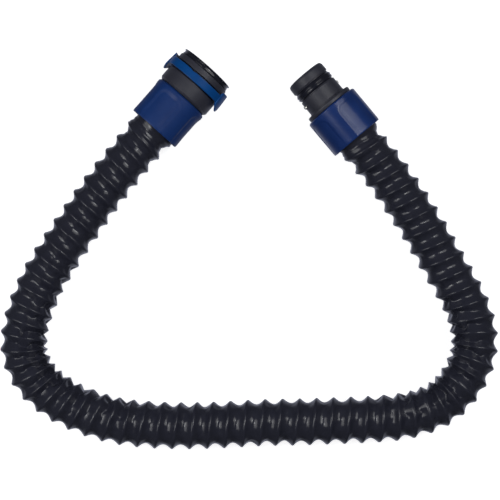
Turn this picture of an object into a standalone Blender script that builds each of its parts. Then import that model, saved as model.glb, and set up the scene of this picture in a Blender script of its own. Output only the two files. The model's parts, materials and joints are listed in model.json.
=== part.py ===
"""Breathing hose of a powered air respirator, lying flat in a wide bend.

A wire-supported corrugated hose carries a quick-release swivel socket (headgear end) and a
bayonet plug (blower end), each behind a grip collar. Metres, +Z up, the hose lies on Z = 0.
Each fitting is modelled upright in a frame of its own: +Z runs from the collar's mouth, where
the hose enters, to the open end. An empty then lays it down where it belongs.
"""

import math

import bmesh
import bpy
from mathutils import Matrix, Vector

PART_NAME = "respirator_breathing_hose"
GAP = 0.0003  # left between pieces that touch

# Sides of the turned pieces
COLLAR_SIDES = 44
SOCKET_SIDES = 44
PLUG_SIDES = 36
INNER_SIDES = 32

# Hose
CREST_RADIUS = 0.0193  # outer radius over the wire-supported crests
SKIN_THICKNESS = 0.0010
SKIN_SIDES_RESOLUTION = 4  # twelve sides
SKIN_STATIONS = 60
HOSE_INSERT = 0.024  # length of hose inside each collar
WIRE_RADIUS = 0.00055
WIRE_COIL_RADIUS = 0.0164
WIRE_PITCH = 0.01385
WIRE_POINTS_PER_TURN = 8
WIRE_HAND = -1  # left-handed helix

# Places of the two collar mouths, and the way each fitting points
HEADGEAR_MOUTH = Vector((-0.0764, 0.0978, 0.0250))
HEADGEAR_HEADING = math.radians(48.5)
HEADGEAR_SPIN = math.radians(-10)
BLOWER_MOUTH = Vector((0.0869, 0.0910, 0.0232))
BLOWER_HEADING = math.radians(130.0)
BLOWER_SPIN = math.radians(28.5)

# Centreline between the collar mouths: the hose lies on the floor and rises a little at each end
ROUTE = [
    (-0.0815, 0.0921, 0.0248),
    (-0.0960, 0.0753, 0.0237),
    (-0.1213, 0.0440, 0.0205),
    (-0.1443, 0.0115, 0.0194),
    (-0.1658, -0.0220, 0.0194),
    (-0.1763, -0.0450, 0.0194),
    (-0.1818, -0.0640, 0.0194),
    (-0.1828, -0.0800, 0.0194),
    (-0.1788, -0.0950, 0.0194),
    (-0.1698, -0.1085, 0.0194),
    (-0.1553, -0.1205, 0.0194),
    (-0.1348, -0.1310, 0.0194),
    (-0.1063, -0.1395, 0.0194),
    (-0.0713, -0.1430, 0.0194),
    (-0.0313, -0.1430, 0.0194),
    (0.0087, -0.1410, 0.0194),
    (0.0487, -0.1400, 0.0194),
    (0.0887, -0.1385, 0.0194),
    (0.1187, -0.1365, 0.0194),
    (0.1397, -0.1320, 0.0194),
    (0.1592, -0.1220, 0.0194),
    (0.1737, -0.1055, 0.0194),
    (0.1822, -0.0850, 0.0194),
    (0.1822, -0.0635, 0.0194),
    (0.1752, -0.0425, 0.0194),
    (0.1617, -0.0180, 0.0194),
    (0.1417, 0.0165, 0.0195),
    (0.1197, 0.0499, 0.0202),
    (0.1045, 0.0698, 0.0219),
    (0.0919, 0.0848, 0.0231),
]

# Grip collars
COLLAR_RADIUS = 0.0232
COLLAR_BORE = 0.0210
COLLAR_WEB_BORE = 0.0173  # the web inside the collar grips the fitting's tail
COLLAR_WEB_START = 0.0255
COLLAR_LENGTH = 0.0340
RECESS_DEPTH = 0.0010
RECESS_LENGTH = 0.0290
RECESS_WIDTH = math.radians(63)
RECESS_COUNT = 4

# Swivel between the tail and the socket
SWIVEL_SEAL_RADIUS = 0.01625
SWIVEL_SEAL_HEIGHT = 0.0365
SWIVEL_SEAL_SECTION = 0.0008
RING_OUTER = 0.0188
RING_INNER = 0.0160
RING_START = 0.0389
RING_END = 0.0399

# Hose end cuffs, and the tails that the hose is pushed onto
CUFF_INNER = CREST_RADIUS + GAP
CUFF_OUTER = COLLAR_BORE - GAP
TAIL_BORE = 0.0128
TAIL_OUTER = 0.0146
TAIL_HUB = 0.0170
TAIL_START = 0.0020

# Swivel socket (headgear end)
SOCKET_BASE = COLLAR_LENGTH + 0.0004
SOCKET_RADIUS = 0.0237
SOCKET_BORE = 0.0203
SOCKET_GROOVE_RADIUS = 0.0222
SOCKET_GROOVE_START = 0.0476
CAP_START = 0.0569
CAP_RADIUS = 0.0239
SOCKET_TOP = 0.0616
MOUTH_END = 0.0657
BAND_START = 0.0480
BAND_END = 0.0560
BAND_FRONT_OUTER = 0.0249
BAND_FRONT_INNER = 0.0230
BAND_SIDE_OUTER = 0.0272
BAND_SIDE_INNER = 0.0250
BAND_SPLIT = 0.0190  # where the sprung sides meet the front and back stretches
TAB_HALF_WIDTH = 0.0090
CATCH_HALF_WIDTH = 0.0050
CATCH_TIP = 0.0193

# Bayonet plug (blower end)
FLANGE_RADIUS = 0.0206
FLANGE_END = 0.0370
BARREL_RADIUS = 0.0166
SEAL_STEP_START = 0.0512
SEAL_STEP_END = 0.0577
SEAL_STEP_RADIUS = 0.0158
SEAL_GROOVE_START = 0.0524
SEAL_GROOVE_END = 0.0554
SEAL_GROOVE_RADIUS = 0.0141
PLUG_SEAL_SECTION = 0.0013
NOSE_END = 0.0670
PIN_HEIGHT = 0.0453
PIN_RADIUS = 0.0014
PIN_TIP = 0.0180
PIN_ROOT = 0.0148
PIN_ANGLE = math.radians(-8.5)


def new_collection(name):
    """A collection linked to the scene."""
    collection = bpy.data.collections.new(name)
    bpy.context.scene.collection.children.link(collection)
    return collection


def new_material(name, color, roughness, metallic=0.0):
    """A Principled BSDF material of one colour."""
    material = bpy.data.materials.new(name)
    material.use_nodes = True
    shader = material.node_tree.nodes["Principled BSDF"]
    shader.inputs["Base Color"].default_value = (*color, 1.0)
    shader.inputs["Roughness"].default_value = roughness
    shader.inputs["Metallic"].default_value = metallic
    return material


def add_object(name, data, collection, material=None):
    """An object of that mesh or curve, in the collection."""
    obj = bpy.data.objects.new(name, data)
    collection.objects.link(obj)
    if material is not None:
        data.materials.append(material)
    return obj


def make_cutter(obj):
    """Hides a cutting shape from renders and shows it as wire."""
    obj.hide_render = True
    obj.display_type = "WIRE"
    return obj


def turned(name, profile, steps, collection, material=None):
    """A ring turned about Z from a closed (radius, height) outline that runs down its outer side."""
    mesh = bpy.data.meshes.new(name)
    points = [(radius, 0, height) for radius, height in profile]
    edges = [(i, (i + 1) % len(points)) for i in range(len(points))]
    mesh.from_pydata(points, edges, [])
    obj = add_object(name, mesh, collection, material)
    screw = obj.modifiers.new("turn", "SCREW")
    screw.steps = screw.render_steps = steps
    screw.use_merge_vertices = True
    screw.merge_threshold = 0.00001
    return obj


def circle_profile(center_radius, height, section, count):
    """Outline of a round section, running down its outer side."""
    angles = [-2 * math.pi * i / count for i in range(count)]
    return [
        (center_radius + section * math.cos(a), height + section * math.sin(a))
        for a in angles
    ]


def sector(name, inner, outer, bottom, top, start, sweep, steps, collection):
    """A solid arc of rectangular section, swept about Z."""
    mesh = bpy.data.meshes.new(name)
    shape = bmesh.new()
    corners = [(inner, bottom), (outer, bottom), (outer, top), (inner, top)]
    turn = Matrix.Rotation(start, 3, "Z")
    face = shape.faces.new([shape.verts.new(turn @ Vector((r, 0, z))) for r, z in corners])
    geometry = [face, *face.edges, *face.verts]
    bmesh.ops.spin(shape, geom=geometry, axis=(0, 0, 1), cent=(0, 0, 0), angle=sweep, steps=steps)
    bmesh.ops.recalc_face_normals(shape, faces=shape.faces)
    shape.to_mesh(mesh)
    shape.free()
    return make_cutter(add_object(name, mesh, collection))


def block(name, low, high, collection):
    """A box between two corners, used as a cutter or joined to another shape."""
    mesh = bpy.data.meshes.new(name)
    shape = bmesh.new()
    bmesh.ops.create_cube(shape, size=1)
    size = Vector(high) - Vector(low)
    bmesh.ops.scale(shape, vec=size, verts=shape.verts)
    bmesh.ops.translate(shape, vec=(Vector(high) + Vector(low)) / 2, verts=shape.verts)
    shape.to_mesh(mesh)
    shape.free()
    return make_cutter(add_object(name, mesh, collection))


def peg(name, radius, start, end, height, angle, collection):
    """A round peg that points outwards from the Z axis at a height."""
    mesh = bpy.data.meshes.new(name)
    shape = bmesh.new()
    bmesh.ops.create_cone(
        shape, cap_ends=True, segments=20, radius1=radius, radius2=radius, depth=end - start
    )
    place = (
        Matrix.Rotation(angle, 4, "Z")
        @ Matrix.Translation(((start + end) / 2, 0, height))
        @ Matrix.Rotation(math.pi / 2, 4, "Y")
    )
    bmesh.ops.transform(shape, matrix=place, verts=shape.verts)
    shape.to_mesh(mesh)
    shape.free()
    return add_object(name, mesh, collection)


def prism(name, outlines, depth, collection):
    """Flat outlines in XY, the inner ones as holes, extruded by depth either way along Z."""
    curve = bpy.data.curves.new(name + "_outline", "CURVE")
    curve.dimensions = "2D"
    curve.fill_mode = "BOTH"
    curve.extrude = depth
    for outline in outlines:
        spline = curve.splines.new("POLY")
        spline.points.add(len(outline) - 1)
        for point, (x, y) in zip(spline.points, outline):
            point.co = (x, y, 0, 1)
        spline.use_cyclic_u = True
    guide = add_object(name + "_outline", curve, collection)
    bpy.context.view_layer.update()
    evaluated = guide.evaluated_get(bpy.context.evaluated_depsgraph_get())
    mesh = bpy.data.meshes.new_from_object(evaluated)
    bpy.data.objects.remove(guide)
    shape = bmesh.new()
    shape.from_mesh(mesh)
    bmesh.ops.remove_doubles(shape, verts=shape.verts, dist=0.00001)
    bmesh.ops.recalc_face_normals(shape, faces=shape.faces)
    shape.to_mesh(mesh)
    shape.free()
    return make_cutter(add_object(name, mesh, collection))


def combine(obj, other, operation):
    """Adds an exact Boolean of the other shape."""
    modifier = obj.modifiers.new(operation.lower(), "BOOLEAN")
    modifier.operation = operation
    modifier.object = other
    modifier.solver = "EXACT"


def clamped_spline(points, start_direction, end_direction, count):
    """Count points on the smooth curve through the points, with given directions at its ends."""
    chords = [(b - a).length for a, b in zip(points, points[1:])]
    last = len(points) - 1
    # One equation per point for its second derivative, solved by elimination.
    lower = [0.0] * (last + 1)
    diagonal = [0.0] * (last + 1)
    upper = [0.0] * (last + 1)
    right = [Vector((0, 0, 0)) for _ in points]
    diagonal[0], upper[0] = 2 * chords[0], chords[0]
    right[0] = 6 * ((points[1] - points[0]) / chords[0] - start_direction)
    diagonal[last], lower[last] = 2 * chords[-1], chords[-1]
    right[last] = 6 * (end_direction - (points[last] - points[last - 1]) / chords[-1])
    for i in range(1, last):
        before, after = chords[i - 1], chords[i]
        lower[i], diagonal[i], upper[i] = before, 2 * (before + after), after
        slope_after = (points[i + 1] - points[i]) / after
        slope_before = (points[i] - points[i - 1]) / before
        right[i] = 6 * (slope_after - slope_before)
    for i in range(1, last + 1):
        share = lower[i] / diagonal[i - 1]
        diagonal[i] -= share * upper[i - 1]
        right[i] = right[i] - share * right[i - 1]
    bend = [Vector((0, 0, 0)) for _ in points]
    bend[last] = right[last] / diagonal[last]
    for i in range(last - 1, -1, -1):
        bend[i] = (right[i] - upper[i] * bend[i + 1]) / diagonal[i]
    total = sum(chords)
    curve = []
    for k in range(count):
        along = total * k / (count - 1)
        i = 0
        while i < last - 1 and along > chords[i]:
            along -= chords[i]
            i += 1
        h, b = chords[i], min(along, chords[i])
        a = h - b
        cubic = (bend[i] * a**3 + bend[i + 1] * b**3) / (6 * h)
        straight = (points[i] / h - bend[i] * h / 6) * a + (points[i + 1] / h - bend[i + 1] * h / 6) * b
        curve.append(cubic + straight)
    return curve


def heading_vector(angle):
    """The horizontal unit vector of a heading."""
    return Vector((math.cos(angle), math.sin(angle), 0))


def hose_centreline(count):
    """The free hose from mouth to mouth, as points on one smooth curve."""
    points = [HEADGEAR_MOUTH, *(Vector(p) for p in ROUTE), BLOWER_MOUTH]
    return clamped_spline(
        points, -heading_vector(HEADGEAR_HEADING), heading_vector(BLOWER_HEADING), count
    )


def make_hose_skin(collection, material):
    """The hose's film as a plain tube over the crests, open at both ends, and on into both collars."""
    headgear = HEADGEAR_MOUTH + heading_vector(HEADGEAR_HEADING) * HOSE_INSERT
    blower = BLOWER_MOUTH + heading_vector(BLOWER_HEADING) * HOSE_INSERT
    path = [headgear, *hose_centreline(SKIN_STATIONS), blower]
    curve = bpy.data.curves.new("hose_skin", "CURVE")
    curve.dimensions = "3D"
    curve.twist_mode = "Z_UP"
    curve.bevel_depth = CREST_RADIUS
    curve.bevel_resolution = SKIN_SIDES_RESOLUTION
    spline = curve.splines.new("POLY")
    spline.points.add(len(path) - 1)
    for point, place in zip(spline.points, path):
        point.co = (*place, 1)
    skin = add_object("hose_skin", curve, collection, material)
    wall = skin.modifiers.new("wall", "SOLIDIFY")
    wall.thickness = SKIN_THICKNESS
    wall.offset = -1
    return skin


def make_support_wire(collection, material):
    """The spring wire that holds the film open, coiled inside the skin from mouth to mouth."""
    centre = hose_centreline(1200)
    lengths = [0.0]
    for a, b in zip(centre, centre[1:]):
        lengths.append(lengths[-1] + (b - a).length)
    turns = int(lengths[-1] / WIRE_PITCH)
    count = turns * WIRE_POINTS_PER_TURN + 1
    path = []
    i = 0
    for k in range(count):
        along = lengths[-1] * (k + 0.5) / count
        while lengths[i + 1] < along:
            i += 1
        share = (along - lengths[i]) / (lengths[i + 1] - lengths[i])
        place = centre[i].lerp(centre[i + 1], share)
        forward = (centre[i + 1] - centre[i]).normalized()
        side = Vector((0, 0, 1)).cross(forward).normalized()
        up = forward.cross(side)
        turn = WIRE_HAND * 2 * math.pi * k / WIRE_POINTS_PER_TURN
        path.append(place + WIRE_COIL_RADIUS * (math.cos(turn) * side + math.sin(turn) * up))
    curve = bpy.data.curves.new("hose_support_wire", "CURVE")
    curve.dimensions = "3D"
    curve.bevel_depth = WIRE_RADIUS
    curve.bevel_resolution = 0
    curve.use_fill_caps = True
    spline = curve.splines.new("POLY")
    spline.points.add(len(path) - 1)
    for point, place in zip(spline.points, path):
        point.co = (*place, 1)
    return add_object("hose_support_wire", curve, collection, material)


def make_collar(name, waist, collection, cutters, material):
    """A grip collar with four recesses that are open towards the hose, and a web that grips the tail."""
    profile = [
        (COLLAR_RADIUS - 0.0009, COLLAR_LENGTH),
        (COLLAR_RADIUS, COLLAR_LENGTH - 0.0012),
        (COLLAR_RADIUS, RECESS_LENGTH + 0.0010),
        (COLLAR_RADIUS - waist, RECESS_LENGTH - 0.0020),
        (COLLAR_RADIUS - waist, 0.0100),
        (COLLAR_RADIUS - 0.0002, 0.0005),
        (COLLAR_RADIUS - 0.0006, 0.0),
        (COLLAR_BORE, 0.0),
        (COLLAR_BORE, COLLAR_WEB_START),
        (COLLAR_WEB_BORE, COLLAR_WEB_START),
        (COLLAR_WEB_BORE, COLLAR_LENGTH),
    ]
    collar = turned(name, profile, COLLAR_SIDES, collection, material)
    for i in range(RECESS_COUNT):
        middle = math.pi / 2 + 2 * math.pi * i / RECESS_COUNT
        recess = sector(
            f"{name}_recess_{i + 1}",
            COLLAR_RADIUS - waist - RECESS_DEPTH,
            COLLAR_RADIUS + 0.002,
            -0.002,
            RECESS_LENGTH,
            middle - RECESS_WIDTH / 2,
            RECESS_WIDTH,
            9,
            cutters,
        )
        combine(collar, recess, "DIFFERENCE")
        recess.parent = collar
    return collar


def make_cuff(name, collection, material):
    """The soft sleeve between the hose's end and the collar."""
    length = COLLAR_WEB_START - GAP
    profile = [(CUFF_OUTER, length), (CUFF_OUTER, 0.0006), (CUFF_INNER, 0.0006), (CUFF_INNER, length)]
    return turned(name, profile, INNER_SIDES, collection, material)


def make_swivel_tail(collection, material):
    """The tube that the hose is pushed onto; its top turns in the socket's floor."""
    profile = [
        (0.0160, 0.0410),
        (TAIL_HUB - 0.0002, 0.0402),
        (TAIL_HUB - 0.0002, 0.0401),
        (0.0158, 0.0401),
        (0.0158, 0.0387),
        (TAIL_HUB, 0.0387),
        (TAIL_HUB, 0.0376),
        (0.0153, 0.0376),
        (0.0153, 0.0354),
        (TAIL_HUB, 0.0354),
        (TAIL_HUB, COLLAR_WEB_START + GAP),
        (TAIL_OUTER, COLLAR_WEB_START - 0.0010),
        (TAIL_OUTER, TAIL_START + 0.0015),
        (TAIL_OUTER - 0.0008, TAIL_START),
        (TAIL_BORE, TAIL_START),
        (TAIL_BORE, 0.0410),
    ]
    return turned("swivel_tail", profile, INNER_SIDES, collection, material)


def make_swivel_rings(collection, rubber, steel):
    """The swivel's O-ring, and the retaining ring that keeps the socket on the tail."""
    section = circle_profile(SWIVEL_SEAL_RADIUS, SWIVEL_SEAL_HEIGHT, SWIVEL_SEAL_SECTION, 8)
    seal = turned("swivel_o_ring", section, INNER_SIDES, collection, rubber)
    profile = [
        (RING_OUTER, RING_END),
        (RING_OUTER, RING_START),
        (RING_INNER, RING_START),
        (RING_INNER, RING_END),
    ]
    ring = turned("swivel_retaining_ring", profile, INNER_SIDES, collection, steel)
    return seal, ring


def make_socket_body(collection, cutters, material):
    """The black socket: floor around the swivel, bore for the headgear's spigot, groove for the band."""
    profile = [
        (0.0214, SOCKET_TOP),
        (0.0214, CAP_START - GAP),
        (SOCKET_GROOVE_RADIUS, CAP_START - GAP),
        (SOCKET_GROOVE_RADIUS, SOCKET_GROOVE_START),
        (SOCKET_RADIUS, SOCKET_GROOVE_START),
        (SOCKET_RADIUS, SOCKET_BASE + 0.0020),
        (SOCKET_RADIUS - 0.0013, SOCKET_BASE),
        (TAIL_HUB + GAP, SOCKET_BASE),
        (TAIL_HUB + GAP, 0.0385),
        (0.0192, 0.0385),
        (0.0192, 0.0412),
        (SOCKET_BORE, 0.0412),
        (SOCKET_BORE, SOCKET_TOP),
    ]
    body = turned("socket_body", profile, SOCKET_SIDES, collection, material)
    half = CATCH_HALF_WIDTH + 0.0005
    for side, name in ((1, "front"), (-1, "back")):
        near, far = sorted((side * 0.0180, side * 0.0260))
        window = block(
            f"catch_window_{name}", (-half, near, 0.0501), (half, far, 0.0539), cutters
        )
        combine(body, window, "DIFFERENCE")
        window.parent = body
    return body


def make_socket_cap(collection, material):
    """The ring at the socket's mouth that keeps the release band in its groove."""
    profile = [
        (0.0226, 0.0630),
        (0.0236, 0.0622),
        (CAP_RADIUS, 0.0606),
        (CAP_RADIUS, CAP_START),
        (0.0217, CAP_START),
        (0.0217, 0.0619),
        (0.0212, 0.0619),
        (0.0212, 0.0630),
    ]
    return turned("socket_cap", profile, SOCKET_SIDES, collection, material)


def make_socket_seals(collection, material):
    """The lip seal at the mouth, and the flat seal that the spigot's end meets."""
    lip = [
        (0.0237, MOUTH_END),
        (0.0237, MOUTH_END - 0.0006),
        (0.0226, 0.0643),
        (0.0222, 0.0633),
        (0.0209, 0.0633),
        (0.0209, 0.0622),
        (0.0200, 0.0622),
        (0.0200, 0.0640),
        (0.0216, MOUTH_END),
    ]
    mouth = turned("socket_mouth_seal", lip, SOCKET_SIDES, collection, material)
    flat = [(0.0200, 0.0431), (0.0200, 0.0415), (0.0165, 0.0415), (0.0165, 0.0431)]
    face = turned("socket_face_seal", flat, INNER_SIDES, collection, material)
    return mouth, face


def oval(half_x, half_y, count=64):
    """Points of an oval in XY."""
    angles = [2 * math.pi * (i + 0.5) / count for i in range(count)]
    return [(half_x * math.cos(a), half_y * math.sin(a)) for a in angles]


def make_band_stock(name, collection):
    """The whole oval band, from which the four stretches are cut."""
    outlines = [oval(BAND_SIDE_OUTER, BAND_FRONT_OUTER), oval(BAND_SIDE_INNER, BAND_FRONT_INNER)]
    stock = prism(name, outlines, (BAND_END - BAND_START) / 2, collection)
    stock.data.transform(Matrix.Translation((0, 0, (BAND_END + BAND_START) / 2)))
    return stock


def show_as_part(obj, collection, cutters, material):
    """Moves a shape that started as a cutter to the parts."""
    cutters.objects.unlink(obj)
    collection.objects.link(obj)
    obj.hide_render = False
    obj.display_type = "TEXTURED"
    obj.data.materials.append(material)


def make_release_tab(name, side, collection, cutters, material):
    """One sprung side of the band with its thumb tab, hollowed on the side towards the hose."""
    tab = make_band_stock(name, cutters)
    show_as_part(tab, collection, cutters, material)
    reach = 0.0350
    split = BAND_SPLIT - GAP / 2
    low, high = BAND_START - 0.001, BAND_END + 0.001
    keep = block(name + "_keep", (0.0, -split, low), (reach, split, high), cutters)
    arc = [math.radians(a) for a in (0, 22, 44, 66, 88)]
    hollow = [(0.0262 + 0.0014 * (1 - math.cos(a)), 0.0474 - 0.0047 * math.sin(a)) for a in arc]
    outline = [
        (0.0264, 0.0581),
        (0.0272, 0.0581),
        (0.0280, 0.0510),
        (0.0287, 0.0426),
        *reversed(hollow),
        (0.0256, BAND_START + 0.0002),
        (0.0256, BAND_END - 0.0002),
        (0.0264, 0.0566),
    ]
    plate = prism(name + "_plate", [outline], TAB_HALF_WIDTH, cutters)
    plate.data.transform(Matrix.Rotation(math.pi / 2, 4, "X"))
    combine(tab, keep, "INTERSECT")
    combine(tab, plate, "UNION")
    for shape in (keep, plate):
        shape.parent = tab
    if side < 0:
        tab.matrix_local = Matrix.Rotation(math.pi, 4, "Z")
    return tab


def make_release_band(name, side, collection, cutters, material):
    """The front or back stretch of the band, with the catch tooth that reaches into the bore."""
    band = make_band_stock(name, cutters)
    show_as_part(band, collection, cutters, material)
    reach = 0.0350
    split = BAND_SPLIT + GAP / 2
    low, high = BAND_START - 0.001, BAND_END + 0.001
    keep = block(name + "_keep", (-reach, split, low), (reach, reach, high), cutters)
    tooth = block(
        name + "_tooth",
        (-CATCH_HALF_WIDTH, CATCH_TIP, 0.0505),
        (CATCH_HALF_WIDTH, BAND_FRONT_INNER + 0.0008, 0.0535),
        cutters,
    )
    combine(band, keep, "INTERSECT")
    combine(band, tooth, "UNION")
    for shape in (keep, tooth):
        shape.parent = band
    if side < 0:
        band.matrix_local = Matrix.Rotation(math.pi, 4, "Z")
    return band


def make_plug_body(collection, cutters, material):
    """The bayonet plug: hose tail, flange, barrel, seal groove and rounded nose, with one bore."""
    nose_round = 0.0024
    angles = [math.radians(a) for a in (90, 60, 30, 0)]
    nose = [
        (BARREL_RADIUS - nose_round * (1 - math.cos(a)), NOSE_END - nose_round * (1 - math.sin(a)))
        for a in angles
    ]
    profile = [
        *nose,
        (BARREL_RADIUS, SEAL_STEP_END),
        (SEAL_STEP_RADIUS, SEAL_STEP_END),
        (SEAL_STEP_RADIUS, SEAL_GROOVE_END),
        (SEAL_GROOVE_RADIUS, SEAL_GROOVE_END),
        (SEAL_GROOVE_RADIUS, SEAL_GROOVE_START),
        (SEAL_STEP_RADIUS, SEAL_GROOVE_START),
        (SEAL_STEP_RADIUS, SEAL_STEP_START),
        (BARREL_RADIUS, SEAL_STEP_START),
        (BARREL_RADIUS, FLANGE_END),
        (FLANGE_RADIUS - 0.0012, FLANGE_END),
        (FLANGE_RADIUS, FLANGE_END - 0.0012),
        (FLANGE_RADIUS, COLLAR_LENGTH + GAP),
        (TAIL_HUB, COLLAR_LENGTH + GAP),
        (TAIL_HUB, COLLAR_WEB_START + GAP),
        (TAIL_OUTER, COLLAR_WEB_START - 0.0010),
        (TAIL_OUTER, TAIL_START + 0.0015),
        (TAIL_OUTER - 0.0008, TAIL_START),
        (TAIL_BORE, TAIL_START),
        (TAIL_BORE, NOSE_END),
    ]
    plug = turned("plug_body", profile, PLUG_SIDES, collection, material)
    for i, turn in enumerate((0, math.pi)):
        hole = peg(
            f"pin_hole_{i + 1}",
            PIN_RADIUS + GAP,
            PIN_ROOT - GAP,
            PIN_TIP + 0.001,
            PIN_HEIGHT,
            PIN_ANGLE + turn,
            cutters,
        )
        combine(plug, make_cutter(hole), "DIFFERENCE")
        hole.parent = plug
    return plug


def make_plug_seal(collection, material):
    """The glossy ring that seals the plug in the blower's outlet."""
    height = (SEAL_GROOVE_START + SEAL_GROOVE_END) / 2
    radius = SEAL_GROOVE_RADIUS + GAP + PLUG_SEAL_SECTION
    section = circle_profile(radius, height, PLUG_SEAL_SECTION, 8)
    return turned("plug_o_ring", section, PLUG_SIDES, collection, material)


def make_bayonet_pins(collection, material):
    """The two steel pins that ride in the blower outlet's bayonet slots."""
    pins = []
    for i, turn in enumerate((0, math.pi)):
        pin = peg(
            f"bayonet_pin_{i + 1}", PIN_RADIUS, PIN_ROOT, PIN_TIP, PIN_HEIGHT, PIN_ANGLE + turn, collection
        )
        pin.data.materials.append(material)
        tip = pin.modifiers.new("rounding", "BEVEL")
        tip.width = 0.0003
        tip.segments = 2
        pins.append(pin)
    return pins


def lay_fitting(name, mouth, heading, spin, pieces, collection):
    """Parents the pieces to an empty that lays their +Z along the heading, spun about it."""
    empty = bpy.data.objects.new(name, None)
    collection.objects.link(empty)
    along = heading_vector(heading)
    up = Vector((0, 0, 1))
    turn = Matrix((up.cross(along), up, along)).transposed().to_4x4()
    empty.matrix_world = Matrix.Translation(mouth) @ turn @ Matrix.Rotation(spin, 4, "Z")
    for piece in pieces:
        piece.parent = empty


def shade(objects):
    """Round faces smooth, edges sharp."""
    for obj in objects:
        if obj.type == "MESH":
            obj.data.shade_smooth()
            obj.data.set_sharp_from_angle(angle=math.radians(35))


def build():
    """Makes the whole hose assembly."""
    for obj in list(bpy.data.objects):
        bpy.data.objects.remove(obj)
    parts = new_collection(PART_NAME)
    cutters = new_collection("cutters")
    film = new_material("hose_film", (0.022, 0.024, 0.032), 0.30)
    wire = new_material("spring_wire", (0.45, 0.45, 0.46), 0.30, 1.0)
    navy = new_material("collar_navy", (0.020, 0.030, 0.110), 0.38)
    black = new_material("fitting_black", (0.050, 0.050, 0.056), 0.55)
    blue = new_material("release_blue", (0.012, 0.085, 0.280), 0.40)
    rubber = new_material("seal_rubber", (0.018, 0.018, 0.022), 0.22)
    steel = new_material("pin_steel", (0.60, 0.60, 0.58), 0.25, 1.0)

    make_hose_skin(parts, film)
    make_support_wire(parts, wire)
    headgear_pieces = [
        make_collar("grip_collar_headgear", 0.0005, parts, cutters, navy),
        make_cuff("hose_cuff_headgear", parts, rubber),
        make_swivel_tail(parts, black),
        *make_swivel_rings(parts, rubber, steel),
        make_socket_body(parts, cutters, black),
        make_socket_cap(parts, black),
        *make_socket_seals(parts, rubber),
        make_release_tab("release_tab_left", 1, parts, cutters, blue),
        make_release_tab("release_tab_right", -1, parts, cutters, blue),
        make_release_band("release_band_front", 1, parts, cutters, blue),
        make_release_band("release_band_back", -1, parts, cutters, blue),
    ]
    blower_pieces = [
        make_collar("grip_collar_blower", 0.0, parts, cutters, navy),
        make_cuff("hose_cuff_blower", parts, rubber),
        make_plug_body(parts, cutters, black),
        make_plug_seal(parts, rubber),
        *make_bayonet_pins(parts, steel),
    ]
    lay_fitting(
        "headgear_fitting", HEADGEAR_MOUTH, HEADGEAR_HEADING, HEADGEAR_SPIN, headgear_pieces, parts
    )
    lay_fitting("blower_fitting", BLOWER_MOUTH, BLOWER_HEADING, BLOWER_SPIN, blower_pieces, parts)
    shade(parts.objects)


build()
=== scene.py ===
"""Looks of a powered air respirator's breathing hose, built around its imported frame.

Everything is in metres in the frame's own axes, except that section profiles are written in
millimetres and scaled by MM. Each fitting has local axes: +Z runs from its collar's mouth, where
the hose enters, to its open end, and +Y is the side that faces mostly upwards.
"""

import json
import math

import bmesh
import bpy
import numpy as np
from mathutils import Matrix, Vector


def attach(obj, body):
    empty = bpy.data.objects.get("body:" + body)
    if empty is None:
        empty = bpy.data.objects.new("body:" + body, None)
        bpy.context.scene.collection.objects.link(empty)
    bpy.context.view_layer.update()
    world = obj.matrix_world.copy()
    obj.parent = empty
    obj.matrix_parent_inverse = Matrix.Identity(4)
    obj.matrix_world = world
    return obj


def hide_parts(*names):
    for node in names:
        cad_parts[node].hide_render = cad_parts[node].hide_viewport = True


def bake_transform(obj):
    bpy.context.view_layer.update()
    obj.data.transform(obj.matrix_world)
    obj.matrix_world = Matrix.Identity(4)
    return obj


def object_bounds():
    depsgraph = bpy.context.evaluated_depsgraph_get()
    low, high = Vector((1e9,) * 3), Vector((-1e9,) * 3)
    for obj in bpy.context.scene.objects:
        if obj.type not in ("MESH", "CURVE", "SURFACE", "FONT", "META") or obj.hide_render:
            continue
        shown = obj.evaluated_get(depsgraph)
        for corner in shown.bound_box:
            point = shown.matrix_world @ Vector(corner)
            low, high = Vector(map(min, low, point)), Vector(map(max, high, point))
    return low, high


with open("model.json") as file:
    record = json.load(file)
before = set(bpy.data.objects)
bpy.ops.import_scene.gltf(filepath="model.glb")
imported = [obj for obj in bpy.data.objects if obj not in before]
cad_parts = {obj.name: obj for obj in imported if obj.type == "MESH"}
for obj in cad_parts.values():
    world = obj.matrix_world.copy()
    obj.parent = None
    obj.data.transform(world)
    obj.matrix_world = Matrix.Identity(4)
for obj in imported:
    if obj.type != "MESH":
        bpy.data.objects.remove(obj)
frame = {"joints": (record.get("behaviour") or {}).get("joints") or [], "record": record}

cad_low, cad_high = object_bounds()

MM = 0.001
UP = Vector((0, 0, 1))

# Hose
CREST_RADIUS = 0.0193
FILM_THICKNESS = 0.00035
WIRE_RADIUS = 0.0006
WIRE_GAP = 0.0001  # between the wire and the film's inner skin
HOSE_INSERT = 0.0235  # length of hose inside each collar
TURNS = 63  # whole turns between the first and the last crest on the outer side of the bend
FIRST_CREST = 0.0090  # from the headgear collar's mouth
LAST_CREST = 0.0013  # from the blower collar's mouth
BEND_CROWDING = 0.0142  # how strongly a bend crowds the turns, as a radius
SLUMP = 0.10  # how far the winding has slumped towards the headgear halfway along, in turns
FILM_DEPTH = 0.0040  # sag of the film between two crests in a straight stretch
COLUMNS = 96  # per turn
BEAD_SHARE = 0.19  # share of the half pitch where the film lies round the wire
END_FILL = 0.36  # share of the film's sag left where the cuffs fill it
WOBBLE = 0.00025  # how far crests stray from their mean radius, which lies that much further in
STRETCH_BY_BEND = 0.017  # how far a bend stretches the outer side and squeezes the inner, in metres
RIPPLE = 0.00024  # height of the fine ripples beside the cuffs
TAUT_PITCH, SLACK_PITCH = 1.03, 0.76  # local pitch, as a share of the mean, of taut and slack film
# Where cuffs stop filling the film, in turns
HEADGEAR_FILL, BLOWER_FILL = (-1.0, -0.5), (0.85, 0.55)
HEADGEAR_RIPPLES, BLOWER_RIPPLES = (-0.2, 1.5), (2.3, 1.3)  # where the ripples die out, in turns

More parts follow.
